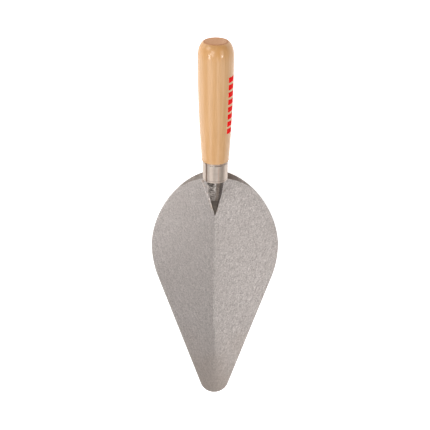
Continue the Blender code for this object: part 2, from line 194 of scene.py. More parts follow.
class Look:
    """A material whose nodes are added with short calls.

    Within is the frame that its coordinates are taken in; without it they are the object's own.
    Each further keyword is the value of a shader socket."""

    def __init__(self, name, metallic, roughness, within=None, **constants):
        self.material = bpy.data.materials.new(name)
        self.material.use_nodes = True
        self.nodes = self.material.node_tree.nodes
        self.links = self.material.node_tree.links
        self.shader = self.nodes["Principled BSDF"]
        self.shader.inputs["Metallic"].default_value = metallic
        self.shader.inputs["Roughness"].default_value = roughness
        for socket, value in constants.items():
            self.shader.inputs[socket.replace("_", " ")].default_value = value
        self.place = self.nodes.new("ShaderNodeTexCoord").outputs["Object"]
        if within:
            mapping = self.nodes.new("ShaderNodeMapping")
            mapping.vector_type = "TEXTURE"
            mapping.inputs["Location"].default_value = within.translation
            mapping.inputs["Rotation"].default_value = within.to_euler()
            self.links.new(self.place, mapping.inputs["Vector"])
            self.place = mapping.outputs["Vector"]

    def put(self, socket, value):
        if isinstance(value, bpy.types.NodeSocket):
            self.links.new(value, socket)
        elif value is not None:
            socket.default_value = value

    def stretched(self, size, turn=(0, 0, 0), vector=None):
        """The coordinates, turned by turn and then scaled by size."""
        turned = self.nodes.new("ShaderNodeVectorRotate")
        turned.rotation_type = "EULER_XYZ"
        turned.inputs["Rotation"].default_value = turn
        self.links.new(vector or self.place, turned.inputs["Vector"])
        scaled = self.nodes.new("ShaderNodeVectorMath")
        scaled.operation = "MULTIPLY"
        scaled.inputs[1].default_value = size
        self.links.new(turned.outputs["Vector"], scaled.inputs[0])
        return scaled.outputs["Vector"]

    def vector(self, x, y, z):
        node = self.nodes.new("ShaderNodeCombineXYZ")
        for socket, value in zip(node.inputs, (x, y, z)):
            self.put(socket, value)
        return node.outputs["Vector"]

    def axes(self):
        node = self.nodes.new("ShaderNodeSeparateXYZ")
        self.links.new(self.place, node.inputs["Vector"])
        return node.outputs

    def noise(self, scale, detail=3.0, roughness=0.55, vector=None, distortion=0.0):
        node = self.nodes.new("ShaderNodeTexNoise")
        self.links.new(vector or self.place, node.inputs["Vector"])
        node.inputs["Scale"].default_value = scale
        node.inputs["Detail"].default_value = detail
        node.inputs["Roughness"].default_value = roughness
        node.inputs["Distortion"].default_value = distortion
        return node.outputs["Fac"]

    def cells(self, scale):
        node = self.nodes.new("ShaderNodeTexVoronoi")
        self.links.new(self.place, node.inputs["Vector"])
        node.inputs["Scale"].default_value = scale
        return node.outputs["Distance"]

    def math(self, operation, first, second=None):
        node = self.nodes.new("ShaderNodeMath")
        node.operation = operation
        for socket, value in zip(node.inputs, (first, second)):
            self.put(socket, value)
        return node.outputs[0]

    def plus(self, first, second):
        return self.math("ADD", first, second)

    def minus(self, first, second):
        return self.math("SUBTRACT", first, second)

    def times(self, first, second):
        return self.math("MULTIPLY", first, second)

    def remap(self, value, low, high, to_low=0.0, to_high=1.0):
        node = self.nodes.new("ShaderNodeMapRange")
        node.interpolation_type = "SMOOTHSTEP"
        for socket, number in zip(node.inputs, (value, low, high, to_low, to_high)):
            self.put(socket, number)
        return node.outputs[0]

    def colours(self, value, stops):
        node = self.nodes.new("ShaderNodeValToRGB")
        self.links.new(value, node.inputs["Fac"])
        ramp = node.color_ramp.elements
        while len(ramp) < len(stops):
            ramp.new(0.5)
        for element, (position, colour) in zip(ramp, stops):
            element.position = position
            element.color = (*colour, 1)
        return node.outputs["Color"]

    def mix(self, share, first, second, blend="MIX"):
        node = self.nodes.new("ShaderNodeMix")
        node.data_type = "RGBA"
        node.blend_type = blend
        self.put(node.inputs["Factor"], share)
        for socket, value in (("A", first), ("B", second)):
            target = next(s for s in node.inputs if s.name == socket and s.type == "RGBA")
            self.put(target, (*value, 1) if isinstance(value, tuple) else value)
        return next(s for s in node.outputs if s.type == "RGBA")

    def bump(self, height, distance, strength=1.0, below=None):
        node = self.nodes.new("ShaderNodeBump")
        self.put(node.inputs["Strength"], strength)
        node.inputs["Distance"].default_value = distance
        self.links.new(height, node.inputs["Height"])
        if below:
            self.links.new(below, node.inputs["Normal"])
        return node.outputs["Normal"]

    def finish(self, colour, roughness=None, normal=None, metallic=None):
        self.put(self.shader.inputs["Base Color"], colour)
        self.put(self.shader.inputs["Roughness"], roughness)
        self.put(self.shader.inputs["Normal"], normal)
        self.put(self.shader.inputs["Metallic"], metallic)
        return self.material


def ground_steel(name, tint=0.0):
    """Belt-ground steel: fine grit, streaks that lean outwards from the crease, and brown at the tip."""
    look = Look(name, metallic=0.9, roughness=0.4)
    axes = look.axes()
    grit = look.noise(760, detail=3.0, roughness=0.75)
    fine = look.noise(2600, detail=2.0, roughness=0.6)
    mirrored = look.vector(look.math("ABSOLUTE", axes["X"]), axes["Y"], axes["Z"])
    along = look.stretched((1300, 210, 300), (0, 0, math.radians(20)), mirrored)
    streaks = look.noise(1, detail=3.0, roughness=0.6, vector=along)
    clouds = look.noise(26, detail=3.0)
    speckle = look.plus(look.times(grit, 0.65), look.times(fine, 0.35))
    tone = look.plus(look.times(speckle, 0.70), look.times(streaks, 0.30))
    colour = look.colours(
        tone,
        [(0.38, (0.300, 0.266, 0.249)), (0.50, (0.500, 0.453, 0.430)), (0.62, (0.730, 0.674, 0.645))],
    )
    colour = look.mix(look.remap(clouds, 0.40, 0.75, 0.0, 0.25), colour, (0.440, 0.390, 0.364))
    # Browner and darker towards the tip.
    near_tip = look.plus(axes["Y"], look.times(look.minus(clouds, 0.5), 0.08))
    towards_tip = look.remap(near_tip, TIP_Y, TIP_Y + 75.0 * MM, 0.45, 0.0)
    colour = look.mix(towards_tip, colour, (0.455, 0.362, 0.300))
    if tint:
        stain = look.remap(look.noise(150, detail=4.0), 0.50, 0.68, 0.0, tint)
        colour = look.mix(stain, colour, (0.260, 0.170, 0.110))
    roughness = look.remap(tone, 0.35, 0.65, 0.44, 0.32)
    normal = look.bump(streaks, 0.02 * MM, 0.5)
    normal = look.bump(speckle, 0.07 * MM, 0.6, below=normal)
    return look.finish(colour, roughness, normal)


def raw_edge():
    """The rim of the blank: brown-black scale at the heel, rubbed down to bare steel along the sides."""
    look = Look("raw_edge", metallic=0.0, roughness=0.6)
    axes = look.axes()
    scale = look.noise(260, detail=5.0, roughness=0.65)
    colour = look.colours(
        scale,
        [(0.30, (0.190, 0.158, 0.138)), (0.52, (0.270, 0.232, 0.206)), (0.72, (0.380, 0.335, 0.303))],
    )
    rubbed = look.colours(
        scale,
        [(0.30, (0.430, 0.385, 0.356)), (0.52, (0.480, 0.441, 0.414)), (0.72, (0.530, 0.497, 0.472))],
    )
    drift = look.noise(60)
    along = look.plus(axes["Y"], look.times(drift, 20.0 * MM))
    across = look.plus(look.math("ABSOLUTE", axes["X"]), look.times(drift, 10.0 * MM))
    at_heel = look.remap(along, 8.0 * MM, 32.0 * MM)
    at_heel = look.times(at_heel, look.remap(across, 29.0 * MM, 54.0 * MM, 1.0, 0.0))
    # Painted shade: the scale is darkened just right of the neck.
    shade_right_of_neck = look.remap(axes["X"], 6.0 * MM, 10.0 * MM)
    shade_right_of_neck = look.times(shade_right_of_neck, look.remap(across, 18.0 * MM, 34.0 * MM, 0.75, 0.0))
    colour = look.mix(shade_right_of_neck, colour, (0.150, 0.105, 0.078))
    colour = look.mix(at_heel, rubbed, colour)
    roughness = look.remap(scale, 0.3, 0.7, 0.66, 0.54)
    metallic = look.remap(at_heel, 0.0, 1.0, 0.0, 0.2)
    return look.finish(colour, roughness, look.bump(scale, 0.15 * MM, 0.5), metallic)


def forged_scale():
    """The neck's forging skin: smooth and dark at its point, flaked above it, with a painted highlight
    along the ridge and painted shade, black, down one flank.
    """
    look = Look("forged_scale", metallic=0.7, roughness=0.45)
    axes = look.axes()
    drawn_out = look.stretched((1.0, 0.6, 0.6))
    flakes = look.noise(420, detail=6.0, roughness=0.72, distortion=0.8, vector=drawn_out)
    pits = look.cells(420)
    scatter = look.minus(look.noise(300, detail=2.0), 0.5)
    colour = look.colours(
        flakes,
        [(0.40, (0.055, 0.045, 0.038)), (0.50, (0.185, 0.160, 0.143)), (0.60, (0.520, 0.470, 0.432))],
    )
    # Painted highlight: pale steel colour along the ridge, broken up by the flakes.
    ridge = look.math("ABSOLUTE", look.plus(axes["X"], look.times(scatter, 6.0 * MM)))
    wear_and_highlight = look.remap(ridge, 0.3 * MM, 1.5 * MM, 0.75, 0.0)
    wear_and_highlight = look.times(wear_and_highlight, look.remap(flakes, 0.40, 0.52))
    colour = look.mix(wear_and_highlight, colour, (0.560, 0.510, 0.475))
    # Painted shade right of the ridge: a plain brown strip, and beyond it unbroken black along the flank.
    lean = look.minus(axes["X"], look.times(axes["Y"], 0.07))
    lean = look.plus(lean, look.times(scatter, 1.6 * MM))
    colour = look.mix(look.remap(lean, -1.9 * MM, -1.2 * MM, 0.0, 0.75), colour, (0.205, 0.158, 0.128))
    colour = look.mix(look.remap(lean, 1.0 * MM, 1.7 * MM, 0.0, 0.9), colour, (0.060, 0.046, 0.038))
    # The point is smooth up to a plane across the neck that leans back by this angle.
    lean_back = math.radians(15.0)
    place = look.times(axes["Y"], math.cos(lean_back))
    place = look.minus(place, look.times(axes["Z"], math.sin(lean_back)))
    place = look.plus(place, look.times(scatter, 3.0 * MM))
    upper = look.remap(place, 15.0 * MM, 16.2 * MM)
    smooth = look.colours(
        flakes,
        [(0.30, (0.080, 0.064, 0.052)), (0.60, (0.112, 0.092, 0.077)), (0.75, (0.150, 0.128, 0.110))],
    )
    colour = look.mix(upper, smooth, colour)
    roughness = look.remap(flakes, 0.35, 0.65, 0.58, 0.40)
    normal = look.bump(pits, 0.10 * MM, 0.4)
    normal = look.bump(flakes, 0.30 * MM, look.times(upper, 0.7), below=normal)
    return look.finish(colour, roughness, normal)


def plated_steel():
    """Nickel-plated tube: warm and satin, with scratches, streaks of painted reflection along it, darker in
    the groove near one end, and patches of painted dark reflection under the bead at the other.
    """
    look = Look("plated_steel", metallic=1.0, roughness=0.5, within=HANDLE_FRAME)
    axes = look.axes()
    blotches = look.noise(240, detail=3.0)
    colour = look.colours(
        blotches,
        [(0.30, (0.520, 0.432, 0.372)), (0.55, (0.570, 0.485, 0.425)), (0.75, (0.600, 0.520, 0.460))],
    )
    angle = look.math("ARCTAN2", axes["X"], look.times(axes["Y"], -1.0))
    wobble = look.times(look.minus(look.noise(160), 0.5), 0.12)
    angle = look.plus(angle, wobble)

    # Painted reflections: dark, dim and pinkish streaks along the tube. Each one's middle and half width
    # are in degrees from the top.
    for middle, half_width, strength, tone in (
        (-45, 7, 0.85, (0.180, 0.115, 0.080)),
        (34, 22, 0.45, (0.330, 0.260, 0.210)),
        (16, 4, 0.40, (0.560, 0.380, 0.300)),
    ):
        off = look.math("ABSOLUTE", look.minus(angle, math.radians(middle)))
        share = look.remap(off, math.radians(0.4 * half_width), math.radians(half_width), strength, 0.0)
        colour = look.mix(share, colour, tone)
    # Darker in the groove above the rolled end; and painted dark reflection of the wood's rim, in patches
    # under the bead at the mouth.
    patches = look.remap(look.noise(1, detail=1.0, vector=look.stretched((260, 260, 40))), 0.47, 0.56)
    under_bead = 0.97 * FERRULE_LENGTH - 1.1 * MM
    for height, half_width, share in ((GROOVE_AT, 0.55 * MM, 0.5), (under_bead, 0.8 * MM, patches)):
        off = look.math("ABSOLUTE", look.minus(axes["Z"], height))
        darkening = look.times(look.remap(off, 0.3 * half_width, half_width, 0.75, 0.0), share)
        colour = look.mix(darkening, colour, (0.170, 0.125, 0.098))
    scratches = look.noise(1, detail=2.0, vector=look.stretched((1500, 1500, 60)))
    roughness = look.remap(scratches, 0.45, 0.70, 0.46, 0.56)
    return look.finish(colour, roughness)


def lacquered_wood():
    """Turned hardwood under clear lacquer. Its growth rings run across the butt and along the sides."""
    look = Look(
        "lacquered_wood",
        metallic=0.0,
        roughness=0.42,
        within=HANDLE_FRAME,
        Coat_Weight=0.6,
        Coat_Roughness=0.12,
        Specular_IOR_Level=0.25,
    )
    axes = look.axes()
    sway = look.noise(1, detail=2.0, vector=look.stretched((34, 34, 6)))
    sway = look.times(look.minus(sway, 0.5), 0.0065)
    across = look.plus(look.times(axes["X"], 0.84), look.times(axes["Y"], 0.54))
    rings = look.math("SINE", look.times(look.plus(across, sway), 2300.0))
    fibres = look.noise(1, detail=5.0, roughness=0.65, vector=look.stretched((900, 900, 26)))
    pores = look.noise(1, detail=2.0, vector=look.stretched((2600, 2600, 120)))
    broad = look.noise(1, detail=2.0, vector=look.stretched((70, 70, 9)))
    tone = look.plus(look.times(rings, 0.02), look.times(fibres, 0.62))
    tone = look.plus(tone, look.times(broad, 0.38))
    colour = look.colours(
        tone,
        [(0.34, (0.570, 0.316, 0.137)), (0.50, (0.622, 0.358, 0.166)), (0.66, (0.672, 0.398, 0.198))],
    )
    dark_pores = look.remap(pores, 0.62, 0.76, 0.0, 0.18)
    colour = look.mix(dark_pores, colour, (0.480, 0.250, 0.100))
    # Lacquer pools orange where the butt rounds over.
    pooled = look.remap(axes["Z"], HANDLE_END - 17.0 * MM, HANDLE_END - 3.0 * MM, 0.0, 0.65)
    pooled = look.times(pooled, look.remap(broad, 0.35, 0.60, 0.45, 1.0))
    colour = look.mix(pooled, colour, (0.640, 0.305, 0.085))
    # The butt is end grain: it drinks more lacquer, and its rings cross it as lines, pale ones at one side.
    end_grain = look.remap(axes["Z"], HANDLE_END - 0.6 * MM, HANDLE_END - 0.1 * MM)
    leaning = look.plus(look.times(axes["X"], 0.62), look.times(axes["Y"], 0.80))
    lines = look.math("SINE", look.times(look.plus(leaning, sway), 2600.0))
    grain = look.mix(look.remap(lines, -0.6, 1.0), (0.520, 0.240, 0.105), (0.700, 0.380, 0.200))
    pale = look.times(look.remap(axes["X"], 2.0 * MM, 7.0 * MM), look.remap(lines, 0.3, 0.9, 0.0, 0.75))
    grain = look.mix(pale, grain, (0.860, 0.560, 0.360))
    off_axis = look.plus(look.math("POWER", axes["X"], 2.0), look.math("POWER", axes["Y"], 2.0))
    off_axis = look.math("SQRT", off_axis)
    dark_rim = look.remap(off_axis, BUTT_FACE_RADIUS - 1.6 * MM, BUTT_FACE_RADIUS - 0.4 * MM, 0.0, 0.5)
    grain = look.mix(dark_rim, grain, (0.430, 0.160, 0.055))
    colour = look.mix(end_grain, colour, grain)
    roughness = look.plus(look.remap(fibres, 0.3, 0.7, 0.48, 0.38), look.times(end_grain, 0.4))
    look.put(look.shader.inputs["Coat Weight"], look.remap(end_grain, 0.0, 1.0, 0.6, 0.1))
    normal = look.bump(fibres, 0.03 * MM, 0.35)
    return look.finish(colour, roughness, normal)


def red_print():
    """Matt red ink, a little thin in places."""
    look = Look("red_print", metallic=0.0, roughness=0.6, within=HANDLE_FRAME, Specular_IOR_Level=0.05)
    wear_and_highlight = look.noise(900, detail=3.0, roughness=0.6)
    colour = look.colours(wear_and_highlight, [(0.30, (0.720, 0.002, 0.002)), (0.70, (0.900, 0.004, 0.004))])
    return look.finish(colour, look.remap(wear_and_highlight, 0.3, 0.7, 0.65, 0.5), look.bump(wear_and_highlight, 0.01 * MM, 0.3))


# Blade ------------------------------------------------------------------------------------------------


def blade_outline():
    """Points (x, y) of the right half of the outline, from the heel to the tip."""
    outline = []
    steps = 96
    for step in range(steps + 1):
        turn = math.pi / 2 * step / steps
        x = HALF_WIDTH * math.sin(turn) ** (2 / HEEL_FULLNESS)
        y = WIDEST_Y + HEEL_LENGTH * max(math.cos(turn), 0) ** (2 / HEEL_FULLNESS)
        outline.append((x, y))
    steps = 22
    for step in range(1, steps + 1):
        turn = TAPER_ANGLE * step / steps
        x = HALF_WIDTH - SIDE_ARC_RADIUS * (1 - math.cos(turn))
        outline.append((x, WIDEST_Y - SIDE_ARC_RADIUS * math.sin(turn)))
    taper_x, taper_y = outline[-1]
    apex_y = taper_y - taper_x / math.tan(TAPER_ANGLE)
    tip_radius = (TIP_Y - apex_y) / (1 / math.sin(TAPER_ANGLE) - 1)
    tip_centre_y = TIP_Y + tip_radius
    touch_x = tip_radius * math.cos(TAPER_ANGLE)
    touch_y = tip_centre_y - tip_radius * math.sin(TAPER_ANGLE)
    steps = 44
    for step in range(1, steps + 1):
        share = step / steps
        outline.append((taper_x + (touch_x - taper_x) * share, taper_y + (touch_y - taper_y) * share))
    steps = 40
    for step in range(1, steps + 1):
        turn = TAPER_ANGLE + (math.pi / 2 - TAPER_ANGLE) * step / steps
        outline.append((tip_radius * math.cos(turn), tip_centre_y - tip_radius * math.sin(turn)))
    outline[0] = (0, HEEL_Y)
    outline[-1] = (0, TIP_Y)
    return outline


def ridge_height(y):
    if y > NECK_TIP_Y:
        share = (y - NECK_TIP_Y) / NECK_FOOT_LENGTH
        return RIDGE_AT_NECK_TIP + (ROOT_THICKNESS - RIDGE_AT_NECK_TIP) * share
    share = (y - TIP_Y) / (NECK_TIP_Y - TIP_Y)
    return TIP_THICKNESS + (RIDGE_AT_NECK_TIP - TIP_THICKNESS) * max(share, 0) ** RIDGE_FALL


def facet_half_width(y):
    """Distance from the crease at which the facet is down to the edge thickness.

    It is the outline's half width below the widest place, and stays the same from there to the heel."""
    along = max(WIDEST_Y - y, 0)
    along_arc = min(along, SIDE_ARC_RADIUS * math.sin(TAPER_ANGLE))
    on_arc = HALF_WIDTH - SIDE_ARC_RADIUS + math.sqrt(SIDE_ARC_RADIUS**2 - along_arc**2)
    return on_arc - (along - along_arc) * math.tan(TAPER_ANGLE)


def shoulder_depth(x, y):
    """How far the raw shoulder leans inwards: much beside the neck, and little at the sides."""
    least = EDGE_THICKNESS - EDGE_LAND
    if y < WIDEST_Y:
        return least
    return least + (ridge_height(y) - EDGE_THICKNESS) * max(1 - x / SHOULDER_HALF_WIDTH, 0)


def blade_top(x, y):
    """Height of the ground surface. Its crease is sharp at the neck and rounds away towards the tip."""
    half_width = facet_half_width(y)
    blunt = 0.25 * MM + 7.0 * MM * (1 - ease(CREASE_ENDS_Y, CREASE_FADES_Y, y))
    off_crease = math.hypot(x, blunt) - blunt
    share = max(1 - off_crease / half_width, 0)
    return EDGE_THICKNESS + (ridge_height(y) - EDGE_THICKNESS) * share


def crease_groove(x, y):
    """The thin line that the grinding wheel leaves beside the crease."""
    along = ease(CREASE_FADES_Y, CREASE_FADES_Y + 15.0 * MM, y) * (1 - ease(-30.0 * MM, -15.0 * MM, y))
    return 0.09 * MM * along * math.exp(-(((x + 0.45 * MM) / (0.35 * MM)) ** 2))


def waviness(x, y):
    """The slight unevenness that hand grinding leaves."""
    broad = noise.noise(Vector((x * 45, y * 30, 1.7)))
    narrow = noise.noise(Vector((x * 140, y * 90, 5.1)))
    return 0.045 * MM * broad + 0.018 * MM * narrow


SHOULDER_FOOT = 4
SHOULDER_STEPS = 8
GROUND_STRIP = 0.22 * MM


def inward_normals(outline):
    """The unit vector at each point of the outline that points into the blade."""
    last = len(outline) - 1
    normals = []
    for index in range(last + 1):
        before = outline[max(index - 1, 0)]
        after = outline[min(index + 1, last)]
        along = Vector((after[0] - before[0], after[1] - before[1]))
        if index == 0:
            along = Vector((1, 0))
        if index == last:
            along = Vector((-1, 0))
        normals.append(Vector((along.y, -along.x)).normalized())
    return normals


def rim_section(x, y, inwards):
    """The rim at one point of the outline, as (inset, height) from the underside up to the ground face.

    Three points bevel the underside and one tops the land. The raw shoulder is from point SHOULDER_FOOT on.
    The last point lies a strip further in, on the ground face, and takes its height from that."""
    depth = shoulder_depth(x, y)
    rise = blade_top(x + inwards.x * depth, y + inwards.y * depth) - EDGE_LAND
    rim = [(0.30 * MM, 0), (0.08 * MM, 0.03 * MM), (0, 0.12 * MM), (0, EDGE_LAND - 0.08 * MM)]
    for step in range(SHOULDER_STEPS + 1):
        share = (step + 0.25) / (SHOULDER_STEPS + 0.25)
        rim.append((depth * share, EDGE_LAND + rise * share))
    rim.append((depth + GROUND_STRIP, None))
    return rim


def blade_piece():
    outline = blade_outline()
    last = len(outline) - 1
    inwards = inward_normals(outline)
    rims = [rim_section(x, y, normal) for (x, y), normal in zip(outline, inwards)]
    ring_count = len(rims[0])
    size = 2 * last
    points = []
    for ring in range(ring_count):
        for spot in range(size):
            index = spot if spot <= last else size - spot
            side = 1 if spot <= last else -1
            inset, height = rims[index][ring]
            x = max(outline[index][0] + inwards[index].x * inset, 0)
            y = outline[index][1] + inwards[index].y * inset
            if height is None:
                height = blade_top(x, y) + waviness(side * x, y)
            elif ring >= SHOULDER_FOOT:
                # The raw shoulder is uneven, more so where it is tall, and ends level with the ground face.
                share = (ring - SHOULDER_FOOT) / SHOULDER_STEPS
                rough = min(0.09 * shoulder_depth(*outline[index]), 0.22 * MM)
                rough *= noise.noise(Vector((side * x * 260, y * 260, height * 260)))
                height += rough * (1 - share**3) + waviness(side * x, y) * share
            points.append((side * x, y, height))
    faces = [face[::-1] for face in tube_faces(ring_count, size)]
    top_edge = (ring_count - 2) * size
    raw_faces = range((SHOULDER_FOOT - 1) * size, top_edge)
    # The ground face, in rows across the blade between matching points of the innermost ring.
    columns = 92
    inner = (ring_count - 1) * size
    rows = {}
    for index in range(1, last):
        left = inner + size - index
        right = inner + index
        row = [left]
        x_edge = points[right][0]
        y = points[right][1]
        for column in range(1, columns):
            share = 2 * column / columns - 1
            x = x_edge * (0.2 * share + 0.8 * share**3)
            row.append(len(points))
            points.append((x, y, blade_top(x, y) + waviness(x, y) - crease_groove(x, y)))
        row.append(right)
        rows[index] = row
    for index in range(1, last - 1):
        upper, lower = rows[index], rows[index + 1]
        for column in range(columns):
            faces.append((upper[column + 1], upper[column], lower[column], lower[column + 1]))
    for column in range(columns):
        faces.append((inner, rows[1][column], rows[1][column + 1]))
        faces.append((inner + last, rows[last - 1][column + 1], rows[last - 1][column]))
    # The underside.
    faces += [(0, 1, size - 1), (last, last + 1, last - 1)]
    for index in range(1, last - 1):
        faces.append((index, index + 1, size - index - 1, size - index))
    blade = mesh_piece("blade_ground", points, faces, [STEEL, RAW_EDGE], node="blade")
    for face in raw_faces:
        blade.data.polygons[face].material_index = 1
    # The shoulder meets the ground face in a crisp edge.
    for edge in blade.data.edges:
        if all(top_edge <= corner < top_edge + size for corner in edge.vertices):
            edge.use_edge_sharp = True


# Shank ------------------------------------------------------------------------------------------------


def neck_lines(share):
    """The neck's upper and lower lines in the plane X = 0, from its point on the blade to its top."""
    middle = FERRULE_END + HANDLE_AXIS * (TENON_FROM - 0.3 * MM)
    off_axis = Vector((0, -HANDLE_AXIS.z, HANDLE_AXIS.y)) * NECK_RADIUS
    on_blade = Vector((0, NECK_TIP_Y, ridge_height(NECK_TIP_Y)))
    upper_start = on_blade + Vector((0, 0, NECK_TIP_RISE))
    upper_lean = upper_start + Vector((0, UPPER_LANDING, 0))
    upper_end = middle + off_axis
    upper = cubic(upper_start, upper_lean, upper_end - HANDLE_AXIS * UPPER_BEND, upper_end, share)
    lower_start = on_blade - Vector((0, 0, 2 * NECK_TIP_RISE))
    lower_lean = lower_start + Vector((0, LOWER_LANDING, -LOWER_DIP))
    lower_end = middle - off_axis
    lower = cubic(lower_start, lower_lean, lower_end - HANDLE_AXIS * LOWER_BEND, lower_end, share)
    return upper, lower


def neck_half_width(share):
    if share < WAIST_SHARE:
        grow = math.sin(math.pi / 2 * share / WAIST_SHARE) ** NECK_FOOT_POWER
        return NECK_TIP_HALF_WIDTH + (NECK_WAIST - NECK_TIP_HALF_WIDTH) * grow
    grow = (share - WAIST_SHARE) / (1 - WAIST_SHARE)
    return NECK_WAIST + (NECK_RADIUS - NECK_WAIST) * grow * grow * (3 - 2 * grow)


def section(centre, upwards, half_height, half_width, squareness, sides, roughness=0.0):
    """A superellipse across the neck or tang, with forging marks of the given depth."""
    power = 2 / squareness
    ring = []
    for side in range(sides):
        turn = 2 * math.pi * side / sides
        across = math.copysign(abs(math.sin(turn)) ** power, math.sin(turn))
        up = math.copysign(abs(math.cos(turn)) ** power, math.cos(turn))
        offset = upwards * up * half_height + Vector((across * half_width, 0, 0))
        spot = centre + offset
        if roughness:
            marks = noise.noise(spot * 230) + 0.5 * noise.noise(spot * 520)
            spot += offset.normalized() * marks * roughness
        ring.append(spot)
    return ring


def shank_piece():
    sides = 72
    stations = 110
    rings = []
    for station in range(stations + 1):
        share = station / stations
        upper, lower = neck_lines(share)
        roughness = 0.16 * MM * ease(0.22, 0.36, share)
        rings.append(
            section(
                (upper + lower) / 2,
                (upper - lower).normalized(),
                (upper - lower).length / 2,
                neck_half_width(share),
                2 + FOOT_SQUARENESS * (1 - share),
                sides,
                roughness,
            )
        )
    # The shoulder and the square tang, inside the handle.
    top = Vector((0, -HANDLE_AXIS.z, HANDLE_AXIS.y))
    root = FERRULE_END + HANDLE_AXIS * (TENON_FROM - 0.3 * MM)
    end = FERRULE_END + HANDLE_AXIS * TANG_END
    rings.append(section(root, top, 0.8 * NECK_RADIUS, 0.8 * NECK_RADIUS, 2.4, sides))
    rings.append(section(root, top, TANG_HALF_WIDTH, TANG_HALF_WIDTH, 14, sides))
    rings.append(section(end, top, TANG_END_HALF_WIDTH, TANG_END_HALF_WIDTH, 14, sides))
    points = [point for ring in rings for point in ring]
    faces = tube_faces(len(rings), sides)
    faces.append(tuple(reversed(range(sides))))
    faces.append(tuple(range(len(points) - sides, len(points))))
    return mesh_piece("shank_forged", points, faces, [SCALE], node="shank")


# Welds ------------------------------------------------------------------------------------------------

WELD_LEAST_TOE = 1.3 * MM
WELD_SPREAD = 0.36
WELD_HEIGHT = 0.25 * MM
WELD_LIP = 0.05 * MM
WELD_SHARE_OF_NECK = 0.40
WELD_BITE = 0.8 * MM
WELD_SUNK = 0.35 * MM
WELD_STANDOFF = 0.04 * MM
WELD_RIPPLE = 0.10 * MM


def neck_share_at(y):
    low, high = 0.0, 1.0
    for _ in range(30):
        middle = (low + high) / 2
        if neck_lines(middle)[0].y < y:
            low = middle
        else:
            high = middle
    return low


def weld_piece(name, node, side):
    """A ground fillet beside the neck's foot. It sinks a little into the neck and the blade."""
    start_y = NECK_TIP_Y + 3.0 * MM
    end_y = HEEL_Y - ROOT_THICKNESS - 0.3 * MM
    stations = 90
    across = 22
    rings = []
    for station in range(stations + 1):
        y = start_y + (end_y - start_y) * station / stations
        share = neck_share_at(y)
        toe = WELD_LEAST_TOE + WELD_SPREAD * (y - NECK_TIP_Y)
        # Behind the neck the two fillets close in on each other.
        behind = ease(HEEL_Y - 26.0 * MM, HEEL_Y - 14.0 * MM, y)
        inner = max(neck_half_width(share) - WELD_BITE, 0) * (1 - behind)
        bare = neck_lines(share)[0].z - blade_top(0, y)
        height = min(WELD_SHARE_OF_NECK * bare, WELD_HEIGHT)
        height *= 1 - ease(HEEL_Y - 11.5 * MM, end_y, y)
        ring = []
        for step in range(across + 1):
            # Out falls from 1 at the toe to 0 at the neck.
            out = 1 - step / across
            x = inner + (toe - inner) * out
            lip = WELD_LIP * ease(0, 0.16, 1 - out)
            ripple = WELD_RIPPLE * noise.noise(Vector((side * x * 330, y * 330, 9.2)))
            inside_toe = min(step / 2, 1.0)
            z = blade_top(x, y) + height * (1 - out) ** 2 + lip + (ripple + WELD_STANDOFF) * inside_toe
            if step == 0:
                z -= WELD_SUNK
            ring.append((side * x, y, z))
        ring.append((side * inner, y, blade_top(inner, y) - WELD_SUNK))
        rings.append(ring)
    size = len(rings[0])
    points = [point for ring in rings for point in ring]
    faces = tube_faces(len(rings), size)
    faces.append(tuple(reversed(range(size))))
    faces.append(tuple(range(len(points) - size, len(points))))
    if side > 0:
        faces = [face[::-1] for face in faces]
    return mesh_piece(name, points, faces, [WELD_STEEL], node=node)


# Turned pieces ------------------------------------------------------------------------------------------


def turned_piece(name, profile, closed, sides, materials, node, shape=None):
    """A solid turned about the handle's axis, in the handle's own frame.

    Profile holds (radius, along), and its outer side runs towards the butt. An open profile starts and
    ends on the axis. Shape may move a point: it takes (point, angle)."""
    body = profile if closed else profile[1:-1]
    points = []
    for radius, along in body:
        for side in range(sides):
            angle = 2 * math.pi * side / sides
            point = Vector((radius * math.sin(angle), -radius * math.cos(angle), along))
            points.append(shape(point, angle) if shape else point)
    faces = tube_faces(len(body), sides)
    if closed:
        low = (len(body) - 1) * sides
        for side in range(sides):
            after = (side + 1) % sides
            faces.append((low + side, low + after, after, side))
    else:
        for pole, first in ((profile[0], 0), (profile[-1], (len(body) - 1) * sides)):
            centre = len(points)
            point = Vector((0, 0, pole[1]))
            points.append(shape(point, 0.0) if shape else point)
            for side in range(sides):
                after = (side + 1) % sides
                corners = (first + after, first + side) if first == 0 else (first + side, first + after)
                faces.append((*corners, centre))
    points = [HANDLE_FRAME @ point for point in points]
    return mesh_piece(name, points, faces, materials, node)


def arc(centre, radius, start, end, steps):
    points = []
    for step in range(steps + 1):
        turn = math.radians(start + (end - start) * step / steps)
        points.append((centre[0] + radius * math.cos(turn), centre[1] + radius * math.sin(turn)))
    return points


def line(start, end, steps):
    """Points after start, up to and with end."""
    made = []
    for step in range(1, steps + 1):
        share = step / steps
        made.append((start[0] + (end[0] - start[0]) * share, start[1] + (end[1] - start[1]) * share))
    return made


